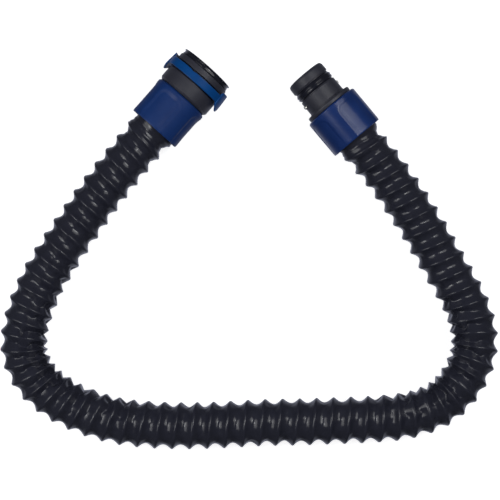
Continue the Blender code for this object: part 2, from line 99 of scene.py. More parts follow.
# The route between the collar mouths, as in the solids
ROUTE = [
    (-0.0815, 0.0921, 0.0248),
    (-0.0960, 0.0753, 0.0237),
    (-0.1213, 0.0440, 0.0205),
    (-0.1443, 0.0115, 0.0194),
    (-0.1658, -0.0220, 0.0194),
    (-0.1763, -0.0450, 0.0194),
    (-0.1818, -0.0640, 0.0194),
    (-0.1828, -0.0800, 0.0194),
    (-0.1788, -0.0950, 0.0194),
    (-0.1698, -0.1085, 0.0194),
    (-0.1553, -0.1205, 0.0194),
    (-0.1348, -0.1310, 0.0194),
    (-0.1063, -0.1395, 0.0194),
    (-0.0713, -0.1430, 0.0194),
    (-0.0313, -0.1430, 0.0194),
    (0.0087, -0.1410, 0.0194),
    (0.0487, -0.1400, 0.0194),
    (0.0887, -0.1385, 0.0194),
    (0.1187, -0.1365, 0.0194),
    (0.1397, -0.1320, 0.0194),
    (0.1592, -0.1220, 0.0194),
    (0.1737, -0.1055, 0.0194),
    (0.1822, -0.0850, 0.0194),
    (0.1822, -0.0635, 0.0194),
    (0.1752, -0.0425, 0.0194),
    (0.1617, -0.0180, 0.0194),
    (0.1417, 0.0165, 0.0195),
    (0.1197, 0.0499, 0.0202),
    (0.1045, 0.0698, 0.0219),
    (0.0919, 0.0848, 0.0231),
]

# Places on the fittings, from the collar's mouth
SEAL_SEAT = 0.0431  # headgear mount
FLANGE_SEAT = 0.0370  # blower mount
SEAL_SEAT_RADIUS = 0.0182
FLANGE_SEAT_RADIUS = 0.0180
BLOWER_SPIN = math.radians(28.5)
HEADGEAR_SETBACK = -0.0005
BLOWER_SETBACK = -0.0010

# Camera
VIEW_WIDTH = 0.40625  # what the frame takes in at the height of the hose's centreline
CAMERA_DISTANCE = 1.13
CAMERA_X, CAMERA_Y = 0.0008, -0.0006
SENSOR = 36.0

# Light: name, angle from straight above, compass angle, size and radiance
SOFTBOX_DISTANCE = 1.35
SOFTBOXES = [
    ("softbox_right", math.radians(36), math.radians(24), 0.90, 1.9),
    ("softbox_right_edge", math.radians(24), math.radians(24), 0.26, 7.0),
    ("softbox_left", math.radians(43), math.radians(180), 0.90, 1.9),
    ("softbox_left_edge", math.radians(31), math.radians(180), 0.26, 7.0),
]
FLOOR_HALF_SIZE = 4
FLOOR_GAP = 0.0002  # between the floor and the lowest point of the solids
SKY_ABOVE = 0.07
SKY_BELOW = 0.55
SKY_EDGES = (-0.92, -0.42)  # heights between which the lower sky turns into the upper one
FLOOR_GLOW = 0.80


def record_entry(entries, name):
    """The entry of that name in a list of the record."""
    return next(entry for entry in entries if entry["name"] == name)


def local_axes(x_axis, y_axis, z_axis, origin):
    """The matrix that places a fitting's local axes in the frame."""
    turn = Matrix((x_axis, y_axis, z_axis)).transposed().to_4x4()
    return Matrix.Translation(origin) @ turn


def headgear_axes():
    """Local axes of the headgear fitting, from its joints and its mount."""
    along = Vector(record_entry(frame["joints"], "socket_swivel")["axis"]).normalized()
    front = Vector(record_entry(frame["joints"], "catch_front_lift")["axis"]).normalized()
    seat = Vector(record_entry(frame["record"]["mounts"], "socket_seal_seat")["pos_m"])
    mouth = seat - along * SEAL_SEAT - UP * SEAL_SEAT_RADIUS
    return local_axes(front.cross(along), front, along, mouth)


def blower_axes():
    """Local axes of the blower fitting, from its mount."""
    mount = record_entry(frame["record"]["mounts"], "plug_flange_seat")
    along = Vector(mount["axis"]).normalized()
    mouth = Vector(mount["pos_m"]) - along * FLANGE_SEAT - UP * FLANGE_SEAT_RADIUS
    return local_axes(UP.cross(along), UP, along, mouth) @ Matrix.Rotation(BLOWER_SPIN, 4, "Z")


HEADGEAR = headgear_axes() @ Matrix.Translation((0, 0, HEADGEAR_SETBACK))
BLOWER = blower_axes() @ Matrix.Translation((0, 0, BLOWER_SETBACK))


# ---------------------------------------------------------------- centreline


def clamped_spline(points, start_direction, end_direction, count):
    """Count points on the cubic spline through the points, with given directions at its ends."""
    points = np.array(points, float)
    chords = np.linalg.norm(np.diff(points, axis=0), axis=1)
    last = len(points) - 1
    system = np.zeros((last + 1, last + 1))
    right = np.zeros((last + 1, 3))
    slopes = np.diff(points, axis=0) / chords[:, None]
    system[0, :2] = 2 * chords[0], chords[0]
    right[0] = 6 * (slopes[0] - start_direction)
    system[last, last - 1 :] = chords[-1], 2 * chords[-1]
    right[last] = 6 * (end_direction - slopes[-1])
    for i in range(1, last):
        system[i, i - 1 : i + 2] = chords[i - 1], 2 * (chords[i - 1] + chords[i]), chords[i]
        right[i] = 6 * (slopes[i] - slopes[i - 1])
    bend = np.linalg.solve(system, right)
    knots = np.concatenate([[0], np.cumsum(chords)])
    along = np.linspace(0, knots[-1], count)
    i = np.clip(np.searchsorted(knots, along, side="right") - 1, 0, last - 1)
    h = chords[i][:, None]
    b = (along - knots[i])[:, None]
    a = h - b
    cubic = (bend[i] * a**3 + bend[i + 1] * b**3) / (6 * h)
    return (
        cubic
        + (points[i] / h - bend[i] * h / 6) * a
        + (points[i + 1] / h - bend[i + 1] * h / 6) * b
    )


class Centreline:
    """The hose's centreline, directions and bends, by arc length from the headgear's mouth."""

    def __init__(self):
        start, end = np.array(HEADGEAR.translation), np.array(BLOWER.translation)
        inwards, outwards = -np.array(HEADGEAR.col[2])[:3], np.array(BLOWER.col[2])[:3]
        free = clamped_spline([start, *ROUTE, end], inwards, outwards, 4001)
        steps = np.linspace(HOSE_INSERT, 0, 60, endpoint=False)[:, None]
        line = np.concatenate([start - inwards * steps, free, (end + outwards * steps)[::-1]])
        gaps = np.linalg.norm(np.diff(line, axis=0), axis=1)
        self.lengths = np.concatenate([[0], np.cumsum(gaps)]) - HOSE_INSERT
        self.points = line
        self.free_length = self.lengths[-1] - HOSE_INSERT
        forward = np.gradient(line, self.lengths, axis=0)
        forward /= np.linalg.norm(forward, axis=1)[:, None]
        side = np.cross([0, 0, 1], forward)
        self.forward = forward
        self.side = side / np.linalg.norm(side, axis=1)[:, None]
        self.upward = np.cross(forward, self.side)
        raw = (np.gradient(forward, self.lengths, axis=0) * self.side).sum(axis=1)
        window = np.ones(61) / 61
        self.bend = np.convolve(np.pad(raw, 30, mode="edge"), window, mode="valid")
        crowding = 1 + BEND_CROWDING * np.abs(self.bend)
        steps = (crowding[1:] + crowding[:-1]) / 2 * np.diff(self.lengths)
        turns = np.concatenate([[0], np.cumsum(steps)])
        first, last = np.interp([FIRST_CREST, self.free_length - LAST_CREST], self.lengths, turns)
        turns = (turns - first) / (last - first) * TURNS
        self.turns = turns - SLUMP * np.sin(math.pi * turns / TURNS)

    def at(self, lengths, values):
        """The values at those arc lengths."""
        flat = lengths.ravel()
        columns = [np.interp(flat, self.lengths, values[:, k]) for k in range(values.shape[1])]
        return np.stack(columns, axis=1).reshape(*lengths.shape, -1)

    def length_of_turn(self, turn):
        """The arc length where the winding has made that many turns."""
        return np.interp(turn, self.turns, self.lengths)


line = Centreline()


# ---------------------------------------------------------------- small tools


def smooth_step(low, high, value):
    """0 below low, 1 above high, smooth between."""
    t = np.clip((value - low) / (high - low), 0, 1)
    return t * t * (3 - 2 * t)


def smooth_noise(position, seed):
    """A smooth random curve between -1 and 1 with one bend per unit of position."""
    knots = np.random.default_rng(seed).uniform(-1, 1, int(np.max(position)) + 4)
    i = np.floor(position).astype(int)
    t = position - i
    t = t * t * (3 - 2 * t)
    return knots[i] * (1 - t) + knots[i + 1] * t


def new_mesh_object(name, vertices, faces):
    """An object in the scene made of those vertices and faces."""
    mesh = bpy.data.meshes.new(name)
    mesh.from_pydata([tuple(v) for v in vertices], [], [tuple(int(i) for i in f) for f in faces])
    mesh.update()
    obj = bpy.data.objects.new(name, mesh)
    bpy.context.scene.collection.objects.link(obj)
    return obj


def smooth(obj, angle=40):
    """Round faces smooth, edges sharper than the angle sharp."""
    obj.data.shade_smooth()
    obj.data.set_sharp_from_angle(angle=math.radians(angle))
    return obj


def ring_faces(sides, count):
    """Faces of a closed ring of that many sides, each side a closed outline of count points."""
    i, j = np.meshgrid(np.arange(sides), np.arange(count), indexing="ij")
    i, j = i.ravel(), j.ravel()
    next_i, next_j = (i + 1) % sides, (j + 1) % count
    corners = [i * count + j, i * count + next_j, next_i * count + next_j, next_i * count + j]
    return np.stack(corners, axis=1)


def tube_faces(rings, sides):
    """Faces of a tube of that many rings, each of that many sides, with open ends."""
    faces = []
    for i in range(rings - 1):
        for k in range(sides):
            n = (k + 1) % sides
            faces.append((i * sides + k, i * sides + n, (i + 1) * sides + n, (i + 1) * sides + k))
    return faces


def tube_ends(rings, sides):
    """The two faces that close such a tube."""
    last = (rings - 1) * sides
    return [tuple(range(sides)), tuple(reversed(range(last, last + sides)))]


def turn_faces_outwards(obj):
    """Makes all faces of a closed piece face outwards."""
    shape = bmesh.new()
    shape.from_mesh(obj.data)
    bmesh.ops.recalc_face_normals(shape, faces=shape.faces)
    shape.to_mesh(obj.data)
    shape.free()


def boundary_walls(faces, offset):
    """Faces that join a surface's open edges to those of its copy, numbered offset later."""
    edges = np.concatenate(
        [np.stack([faces[:, k], faces[:, (k + 1) % 4]], axis=1) for k in range(4)]
    )
    key = np.sort(edges, axis=1)
    _, first, counts = np.unique(key, axis=0, return_index=True, return_counts=True)
    open_edges = edges[first[counts == 1]]
    a, b = open_edges[:, 0], open_edges[:, 1]
    return np.stack([b, a, a + offset, b + offset], axis=1)


# ---------------------------------------------------------------- materials

PATCH_EDGES = (0.30, 0.72)  # noise below the first is fully dark, above the second fully light

# Name, grains to a metre, bump's strength and height in metres, light and dark colour,
# lowest and highest roughness, patches to a metre, further sockets
FINISHES = [
    (
        "hose_film",
        *(900.0, 0.10, 0.0001),
        *((0.0300, 0.0315, 0.0470), (0.0255, 0.0270, 0.0410)),
        *((0.15, 0.24), 90.0, {}),
    ),
    (
        "collar_navy",
        *(2600.0, 0.10, 0.0001),
        *((0.0105, 0.047, 0.205), (0.0085, 0.039, 0.178)),
        *((0.38, 0.48), 70.0, {"Specular_IOR_Level": 0.28}),
    ),
    (
        "collar_navy_gloss",
        *(2200.0, 0.12, 0.0001),
        *((0.0130, 0.045, 0.205), (0.0080, 0.032, 0.155)),
        *((0.20, 0.28), 55.0, {"Specular_IOR_Level": 0.5}),
    ),
    (
        "fitting_black",
        *(2200.0, 0.45, 0.00015),
        *((0.044, 0.0455, 0.062), (0.037, 0.0385, 0.054)),
        *((0.37, 0.48), 80.0, {}),
    ),
    (
        "release_blue",
        *(2400.0, 0.12, 0.0001),
        *((0.0025, 0.082, 0.315), (0.0022, 0.070, 0.275)),
        *((0.32, 0.42), 70.0, {"Specular_IOR_Level": 0.2}),
    ),
    (
        "seal_rubber",
        *(1500.0, 0.06, 0.0001),
        *((0.017, 0.018, 0.028), (0.014, 0.015, 0.023)),
        *((0.07, 0.12), 90.0, {}),
    ),
    (
        "pin_steel",
        *(3000.0, 0.10, 0.0001),
        *((0.80, 0.80, 0.77), (0.66, 0.66, 0.64)),
        *((0.34, 0.46), 300.0, {"Metallic": 1.0}),
    ),
    (
        "spring_wire",
        *(2000.0, 0.10, 0.0001),
        *((0.45, 0.45, 0.46), (0.34, 0.34, 0.35)),
        *((0.24, 0.36), 200.0, {"Metallic": 1.0}),
    ),
]


def material(name, color, roughness, **sockets):
    """A Principled BSDF material; further sockets by their names with underscores for spaces."""
    made = bpy.data.materials.new(name)
    made.use_nodes = True
    shader = made.node_tree.nodes["Principled BSDF"]
    shader.inputs["Base Color"].default_value = (*color, 1)
    shader.inputs["Roughness"].default_value = roughness
    for socket, value in sockets.items():
        shader.inputs[socket.replace("_", " ")].default_value = value
    return made


def add_node(made, kind, **values):
    """A node of the kind, with its inputs set by name."""
    node = made.node_tree.nodes.new(kind)
    for name, value in values.items():
        node.inputs[name].default_value = value
    return node


def link(made, source, output, target, socket):
    """Connects two sockets by name or index."""
    made.node_tree.links.new(source.outputs[output], target.inputs[socket])


def grain(made, grains, strength, distance, light, dark, roughness, patches):
    """Fine moulded grain as bump, with slow changes of colour and roughness over the surface.

    grains and patches are how many there are to a metre, and distance is the height of the grain.
    """
    shader = made.node_tree.nodes["Principled BSDF"]
    place = add_node(made, "ShaderNodeTexCoord")
    fine = add_node(made, "ShaderNodeTexNoise", Scale=grains, Detail=3.0)
    link(made, place, "Object", fine, "Vector")
    bump = add_node(made, "ShaderNodeBump", Strength=strength, Distance=distance)
    link(made, fine, "Fac", bump, "Height")
    link(made, bump, "Normal", shader, "Normal")
    slow = add_node(made, "ShaderNodeTexNoise", Scale=patches, Detail=4.0)
    link(made, place, "Object", slow, "Vector")
    ramp = add_node(made, "ShaderNodeValToRGB")
    for element, position, color in zip(ramp.color_ramp.elements, PATCH_EDGES, (dark, light)):
        element.position = position
        element.color = (*color, 1)
    link(made, slow, "Fac", ramp, "Fac")
    link(made, ramp, "Color", shader, "Base Color")
    spread = add_node(made, "ShaderNodeMapRange")
    spread.inputs["To Min"].default_value, spread.inputs["To Max"].default_value = roughness
    link(made, slow, "Fac", spread, "Value")
    link(made, spread, "Result", shader, "Roughness")


def make_materials():
    """All materials of the object, by name."""
    made = {}
    for name, grains, strength, distance, light, dark, roughness, patches, sockets in FINISHES:
        made[name] = material(name, light, sum(roughness) / 2, **sockets)
        grain(made[name], grains, strength, distance, light, dark, roughness, patches)
    return made


MATERIALS = make_materials()


def finish_piece(obj, material_name, body, *nodes):
    """Gives the piece its material, its body and the nodes that it stands for."""
    obj.data.transform(obj.matrix_world)
    obj.matrix_world = Matrix.Identity(4)
    obj.data.materials.clear()
    obj.data.materials.append(MATERIALS[material_name])
    if body is not None:
        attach(obj, body)
    if nodes:
        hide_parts(*nodes)
    return obj


# ---------------------------------------------------------------- camera, lights, floor


def make_camera():
    """Straight above the middle of the hose's footprint."""
    camera = bpy.data.cameras.new("camera")
    camera.sensor_width = SENSOR
    camera.lens = SENSOR * CAMERA_DISTANCE / VIEW_WIDTH
    obj = bpy.data.objects.new("camera", camera)
    bpy.context.scene.collection.objects.link(obj)
    obj.location = (CAMERA_X, CAMERA_Y, CREST_RADIUS + CAMERA_DISTANCE)
    bpy.context.scene.camera = obj


def make_softbox(name, direction, distance, size, radiance):
    """A square area light that faces the object from that direction."""
    light = bpy.data.lights.new(name, "AREA")
    light.shape = "SQUARE"
    light.size = size
    light.energy = radiance * math.pi * size**2
    obj = bpy.data.objects.new(name, light)
    bpy.context.scene.collection.objects.link(obj)
    toward = Vector(direction).normalized()
    obj.location = toward * distance
    obj.rotation_euler = toward.to_track_quat("Z", "Y").to_euler()
    obj.visible_camera = False


def make_sky():
    """A dim sky overhead and a paler one round the horizon and below it."""
    world = bpy.data.worlds.new("studio")
    world.use_nodes = True
    place = add_node(world, "ShaderNodeTexCoord")
    parts = add_node(world, "ShaderNodeSeparateXYZ")
    link(world, place, "Generated", parts, "Vector")
    height = add_node(world, "ShaderNodeMapRange")
    height.inputs["From Min"].default_value, height.inputs["From Max"].default_value = SKY_EDGES
    link(world, parts, "Z", height, "Value")
    ramp = add_node(world, "ShaderNodeValToRGB")
    ramp.color_ramp.elements[0].color = (SKY_BELOW * 0.93, SKY_BELOW * 0.97, SKY_BELOW * 1.2, 1)
    ramp.color_ramp.elements[1].color = (SKY_ABOVE * 0.9, SKY_ABOVE * 0.94, SKY_ABOVE * 1.1, 1)
    link(world, height, "Result", ramp, "Fac")
    link(world, ramp, "Color", world.node_tree.nodes["Background"], "Color")
    bpy.context.scene.world = world


def make_studio():
    """Pale floor, a large softbox with a bright middle on either side, and a dim sky."""
    for name, tilt, turn, size, radiance in SOFTBOXES:
        direction = (
            math.sin(tilt) * math.cos(turn),
            math.sin(tilt) * math.sin(turn),
            math.cos(tilt),
        )
        make_softbox(name, direction, SOFTBOX_DISTANCE, size, radiance)
    make_sky()
    h = FLOOR_HALF_SIZE
    floor_corners = [(-h, -h, 0), (h, -h, 0), (h, h, 0), (-h, h, 0)]
    floor = new_mesh_object("floor", floor_corners, [(0, 1, 2, 3)])
    floor.location.z = cad_low.z - FLOOR_GAP
    floor.visible_glossy = False
    floor.visible_diffuse = False
    pale = material("floor_pale", (0.86, 0.86, 0.86), 0.9, Specular_IOR_Level=0.1)
    shader = pale.node_tree.nodes["Principled BSDF"]
    shader.inputs["Emission Color"].default_value = (1, 1, 1, 1)
    shader.inputs["Emission Strength"].default_value = FLOOR_GLOW
    floor.data.materials.append(pale)
    bpy.context.scene.view_settings.view_transform = "Standard"


make_camera()
make_studio()


# ---------------------------------------------------------------- hose


def film_rows():
    """Places across the film from one crest to the next: -1 and 1 on the crests, 0 at the fold."""
    bed = [0.0, 0.09, 0.22, 0.38, 0.56, 0.74, 0.90]
    half = [*(b * (1 - BEAD_SHARE) for b in bed), 1 - BEAD_SHARE, 1 - BEAD_SHARE / 2]
    return np.array([-1.0, *(-h for h in reversed(half[1:])), *half])


def beside_cuffs(turn, at_headgear, at_blower):
    """1 beside the cuffs and 0 along the hose, from the turns from each end where it fades."""
    past_headgear = smooth_step(*at_headgear, turn)
    near_blower = smooth_step(TURNS - at_blower[0], TURNS - at_blower[1], turn)
    return 1 - past_headgear * (1 - near_blower)


def film_surface():
    """Vertices of the film's outside, as columns round the helix and rows from crest to crest.

    smooth_noise(run * n, seed) bends n times in a turn of the winding.
    """
    rows = film_rows()
    first = line.turns[0]
    count = int((line.turns[-1] - 1 - first) * COLUMNS)
    turn = first + np.arange(count + 1) / COLUMNS
    angle = math.pi - 2 * math.pi * turn
    run = turn - first
    middle = line.length_of_turn(turn + 0.5)
    bend = np.interp(middle, line.lengths, line.bend)
    local_pitch = (1 - STRETCH_BY_BEND * bend * np.cos(angle)) / (1 + BEND_CROWDING * np.abs(bend))
    slack = smooth_step(TAUT_PITCH, SLACK_PITCH, local_pitch)
    taut = np.clip(local_pitch - 1, 0, 0.18)
    filled = beside_cuffs(turn, HEADGEAR_FILL, BLOWER_FILL)
    rippled = beside_cuffs(turn, HEADGEAR_RIPPLES, BLOWER_RIPPLES)
    depth = FILM_DEPTH * (1 - 3.0 * taut) * (1 + 0.07 * smooth_noise(run * 6, 3))
    depth *= 1 - (1 - END_FILL) * filled
    fold = 0.5 + (0.030 + 0.185 * slack) * smooth_noise(run * 23, 5)
    roundness = 0.08 + (1 - slack) ** 2
    pleat = smooth_noise(run * 31, 7) + 0.6 * smooth_noise(run * 17, 8)
    pleat *= 0.00015 + 0.00018 * slack
    shift = 0.00045 * slack * smooth_noise(run * 19, 11)
    wobble = WOBBLE * smooth_noise(run * 2.3, 13) * (0.3 + 0.7 * slack)

    x = rows[None, :]
    across = np.where(x < 0, fold[:, None] * (1 + x), fold[:, None] + (1 - fold[:, None]) * x)
    u = np.clip(np.abs(x) / (1 - BEAD_SHARE), 0, 1)
    e = roundness[:, None]
    span = np.sqrt(1 + e * e) - e
    rise = (np.sqrt(u * u + e * e) - e) / span
    steepness = depth[:, None] / np.sqrt(1 + e * e) / span * BEAD_SHARE / (1 - BEAD_SHARE)
    bead = np.clip((1 - np.abs(x)) / BEAD_SHARE, 0, 1)
    drop = (depth[:, None] - steepness / 2) * (1 - rise) + steepness / 2 * bead**2
    side_wave = shift[:, None] * np.sin(np.pi * x)
    side_wave = side_wave + RIPPLE * rippled[:, None] * np.sin(3.6 * np.pi * x)
    sunk = drop + pleat[:, None] * (1 - u * u)
    radius = CREST_RADIUS - WOBBLE + wobble[:, None] - sunk + side_wave
    length = line.length_of_turn(turn[:, None] + across)
    return turn, angle, length, radius


def place_round(length, angle, radius):
    """Points at those arc lengths, angles round the centreline, and radii."""
    centre = line.at(length, line.points)
    side = line.at(length, line.side)
    upward = line.at(length, line.upward)
    c, s = np.cos(angle)[..., None], np.sin(angle)[..., None]
    return centre + radius[..., None] * (c * side + s * upward)


def make_film():
    """The corrugated film: a helical strip from crest to crest, with an inner and outer skin."""
    turn, angle, length, radius = film_surface()
    columns, rows = radius.shape
    angles = np.broadcast_to(angle[:, None], radius.shape)
    outer = place_round(length, angles, radius).reshape(-1, 3)
    inner = place_round(length, angles, radius - FILM_THICKNESS).reshape(-1, 3)
    i, j = np.meshgrid(np.arange(columns - 1), np.arange(rows), indexing="ij")
    next_i = i + 1
    here = i * rows + j
    ahead = next_i * rows + j
    wrap = j == rows - 1
    here_up = np.where(wrap, (i + COLUMNS) * rows, here + 1)
    ahead_up = np.where(wrap, (next_i + COLUMNS) * rows, ahead + 1)
    faces = np.stack([here, here_up, ahead_up, ahead], axis=-1).reshape(-1, 4)
    inside = (next_i + np.where(wrap, COLUMNS, 0)).ravel() < columns
    faces = faces[inside]
    total = columns * rows
    used = np.unique(faces)
    walls = boundary_walls(faces, total)
    renumber = np.full(2 * total, -1)
    kept = np.concatenate([used, used + total])
    renumber[kept] = np.arange(len(kept))
    everything = np.concatenate([faces, faces[:, ::-1] + total, walls])
    vertices = np.concatenate([outer, inner])[kept]
    film = new_mesh_object("hose_film", vertices, renumber[everything])
    film.data.shade_smooth()
    return film


def make_wire():
    """The spring wire under the film's crests."""
    sides = 6
    turn = np.arange(line.turns[0] + 0.1, line.turns[-1] - 0.1, 1 / 32)
    angle = math.pi - 2 * math.pi * turn
    length = line.length_of_turn(turn)
    coil = np.full(turn.shape, CREST_RADIUS - WOBBLE - FILM_THICKNESS - WIRE_RADIUS - WIRE_GAP)
    centre = place_round(length, angle, coil)
    outward = place_round(length, angle, coil + 1) - centre
    forward = line.at(length, line.forward)
    vertices = []
    for k in range(sides):
        a = 2 * math.pi * k / sides
        vertices.append(centre + WIRE_RADIUS * (math.cos(a) * outward + math.sin(a) * forward))
    vertices = np.stack(vertices, axis=1).reshape(-1, 3)
    last = len(vertices) - sides
    ends = [tuple(range(sides)), tuple(range(last, last + sides))]
    faces = tube_faces(len(turn), sides) + ends
    wire = new_mesh_object("support_wire", vertices, faces)
    turn_faces_outwards(wire)
    wire.data.shade_smooth()
    return wire


film = finish_piece(make_film(), "hose_film", "hose", "hose_skin")
finish_piece(make_wire(), "spring_wire", "hose", "hose_support_wire")


# ---------------------------------------------------------------- turned pieces


def rounded(corners):
    """Points of a closed outline in millimetres, from corners (radius, height, rounding)."""
    points = []
    count = len(corners)
    for k in range(count):
        before, here, after = (np.array(corners[(k + d) % count][:2], float) for d in (-1, 0, 1))
        into, out = before - here, after - here
        into_length, out_length = np.linalg.norm(into), np.linalg.norm(out)
        into, out = into / into_length, out / out_length
        half = math.acos(np.clip(into @ out, -1, 1)) / 2
        size = corners[k][2]
        reach = min(size / math.tan(half), 0.45 * into_length, 0.45 * out_length) if size else 0
        if reach < 0.01 or half > math.pi / 2 - 0.02:
            points.append(here)
            continue
        size = reach * math.tan(half)
        middle = here + (into + out) / np.linalg.norm(into + out) * size / math.sin(half)
        start, end = here + into * reach, here + out * reach
        steps = 2 if size < 0.3 else 4
        if into_length > 3 * reach + 0.6:
            points.append(start + into * 0.25)
        for i in range(steps + 1):
            blended = (start - middle) * (1 - i / steps) + (end - middle) * i / steps
            points.append(middle + blended / np.linalg.norm(blended) * size)
        if out_length > 3 * reach + 0.6:
            points.append(end + out * 0.25)
    return np.array(points)


def divided(outline, longest):
    """The outline with extra points, so that no stretch is longer than that."""
    points = []
    for here, after in zip(outline, np.roll(outline, -1, axis=0)):
        count = max(1, math.ceil(np.linalg.norm(after - here) / longest))
        points.extend(here + (after - here) * k / count for k in range(count))
    return np.array(points)


def turned(name, outline, axes, sides=144, relief=None):
    """A ring turned about the local Z from a closed outline that runs down its outer side.

    relief gives how much each point moves outwards, from its angle, radius and height.
    Outline and relief are in millimetres.
    """
    angle = np.arange(sides) * 2 * math.pi / sides
    radius, height = outline[:, 0], outline[:, 1]
    if relief is not None:
        radius = radius + relief(angle[:, None], radius[None, :], height[None, :])
    else:
        radius = np.broadcast_to(radius, (sides, len(outline)))
    x, y = radius * np.cos(angle)[:, None], radius * np.sin(angle)[:, None]
    z = np.broadcast_to(height, x.shape)
    vertices = np.stack([x, y, z], axis=-1).reshape(-1, 3) * MM
    obj = new_mesh_object(name, vertices, ring_faces(sides, len(outline)))
    obj.matrix_world = axes
    return smooth(obj)


def ring_section(radius, height, size, count=24):
    """Outline of a round section in millimetres, running down its outer side."""
    a = -2 * math.pi * np.arange(count) / count
    return np.stack([radius + size * np.cos(a), height + size * np.sin(a)], axis=1)


def cut(obj, *cutters):
    """Cuts the shapes out of the piece and removes them."""
    for cutter in cutters:
        modifier = obj.modifiers.new("cut", "BOOLEAN")
        modifier.operation = "DIFFERENCE"
        modifier.solver = "EXACT"
        modifier.object = cutter
    return settle(obj, *cutters)


def settle(obj, *helpers):
    """Turns the piece's modifiers into its mesh and removes the helpers."""
    bpy.context.view_layer.update()
    evaluated = obj.evaluated_get(bpy.context.evaluated_depsgraph_get())
    mesh = bpy.data.meshes.new_from_object(evaluated)
    obj.modifiers.clear()
    obj.data = mesh
    for helper in helpers:
        bpy.data.objects.remove(helper)
    return obj


def box_shape(name, low, high, axes, rounding=0.0):
    """A box between two corners in millimetres on local axes, with rounded edges if asked."""
    mesh = bpy.data.meshes.new(name)
    shape = bmesh.new()
    bmesh.ops.create_cube(shape, size=1)
    low, high = Vector(low) * MM, Vector(high) * MM
    bmesh.ops.scale(shape, vec=high - low, verts=shape.verts)
    bmesh.ops.translate(shape, vec=(high + low) / 2, verts=shape.verts)
    if rounding:
        bmesh.ops.bevel(
            shape,
            geom=shape.edges[:],
            offset=rounding * MM,
            segments=3,
            profile=0.5,
            affect="EDGES",
        )
    shape.to_mesh(mesh)
    shape.free()
    obj = bpy.data.objects.new(name, mesh)
    bpy.context.scene.collection.objects.link(obj)
    obj.matrix_world = axes
    return obj


# ---------------------------------------------------------------- grip collars

COLLAR_SIDES = 360
COLLAR_RADIUS = 23.2
COLLAR_BORE = 21.0
COLLAR_WEB_BORE = 17.3
COLLAR_WEB_START = 25.5
RECESS_HALF_WIDTH = math.radians(31.0)
RECESS_CORNER = 6.5
RECESS_STEP = math.radians(90)
WALL_ROUNDING = 0.14  # share of the recess's wall that is rounded at its top and its foot


def collar_relief(recess_top, depth, wall):
    """Relief for turned(): how far the outside sinks in the recesses, with slanting walls."""

    def relief(angle, radius, height):
        turn = (angle + RECESS_STEP / 2) % RECESS_STEP - RECESS_STEP / 2
        across = np.abs(turn) * COLLAR_RADIUS - (RECESS_HALF_WIDTH * COLLAR_RADIUS - RECESS_CORNER)
        up = height - (recess_top - RECESS_CORNER)
        beyond = np.hypot(np.maximum(across, 0), np.maximum(up, 0))
        distance = beyond + np.minimum(np.maximum(across, up), 0) - RECESS_CORNER
        t = np.clip(-distance / wall, 0, 1)
        soft = WALL_ROUNDING
        ramp = np.where(t < soft, t * t / (2 * soft), t - soft / 2)
        ramp = np.where(t > 1 - soft, 1 - soft - (1 - t) ** 2 / (2 * soft), ramp) / (1 - soft)
        floor = depth * (0.55 + 0.45 * smooth_step(0, 14, height))
        outside = radius > COLLAR_BORE + 0.5
        return np.where(outside, -floor * ramp, 0)

    return relief


def make_collar(name, axes, length, shoulder, relief):
    """A grip collar with a chamfered top and four arched recesses that are open at the mouth."""
    radius = COLLAR_RADIUS
    corners = [
        (radius - shoulder, length, 0.35),
        (radius, length - shoulder * 1.1, 0.5),
        (radius - 0.1, 1.0, 0.8),
        (radius - 0.45, 0.0, 0.35),
        (COLLAR_BORE, 0.0, 0.4),
        (COLLAR_BORE, COLLAR_WEB_START, 0.3),
        (COLLAR_WEB_BORE, COLLAR_WEB_START, 0.3),
        (COLLAR_WEB_BORE, length, 0.3),
    ]
    outline = divided(rounded(corners), 0.45)
    return turned(name, outline, axes, COLLAR_SIDES, relief)


finish_piece(
    make_collar("collar_headgear", HEADGEAR, 34.0, 1.3, collar_relief(30.4, 0.85, 3.4)),
    "collar_navy",
    "hose",
    "grip_collar_headgear",
)
finish_piece(
    make_collar("collar_blower", BLOWER, 33.1, 0.9, collar_relief(29.2, 0.64, 2.3)),
    "collar_navy_gloss",
    "hose",
    "grip_collar_blower",
)


def make_cuff(name, axes):
    """The soft sleeve between the hose and the collar, with a rounded lip at the mouth."""
    corners = [(20.7, 25.2, 0.2), (20.7, 0.7, 0.35), (19.6, 0.7, 0.35), (19.6, 25.2, 0.2)]
    return turned(name, rounded(corners), axes, 96)


finish_piece(make_cuff("cuff_headgear", HEADGEAR), "seal_rubber", "hose", "hose_cuff_headgear")
finish_piece(make_cuff("cuff_blower", BLOWER), "seal_rubber", "hose", "hose_cuff_blower")


# ---------------------------------------------------------------- swivel


def make_swivel_tail():
    """The tube the hose is pushed onto, with grooves for the seal and the retaining ring."""
    corners = [
        (16.0, 41.0, 0.3),
        (16.8, 40.2, 0.0),
        (16.8, 40.05, 0.0),
        (15.8, 40.05, 0.0),
        (15.8, 38.7, 0.0),
        (17.0, 38.7, 0.1),
        (17.0, 37.6, 0.1),
        (15.3, 37.6, 0.0),
        (15.3, 35.4, 0.0),
        (17.0, 35.4, 0.1),
        (17.0, 25.8, 0.3),
        (14.6, 24.5, 0.5),
        (14.6, 3.5, 0.5),
        (13.8, 2.0, 0.3),
        (12.8, 2.0, 0.4),
        (12.8, 41.0, 0.6),
    ]
    return turned("swivel_tube", rounded(corners), HEADGEAR, 96)


finish_piece(make_swivel_tail(), "fitting_black", "hose", "swivel_tail")
finish_piece(
    turned("swivel_seal", ring_section(16.25, 36.5, 0.8, 12), HEADGEAR, 96),
    "seal_rubber",
    "hose",
    "swivel_o_ring",
)
RETAINING_RING = [(18.8, 39.9, 0.1), (18.8, 38.9, 0.1), (16.0, 38.9, 0.1), (16.0, 39.9, 0.1)]
finish_piece(
    turned("retaining_ring", rounded(RETAINING_RING), HEADGEAR, 96),
    "pin_steel",
    "hose",
    "swivel_retaining_ring",
)


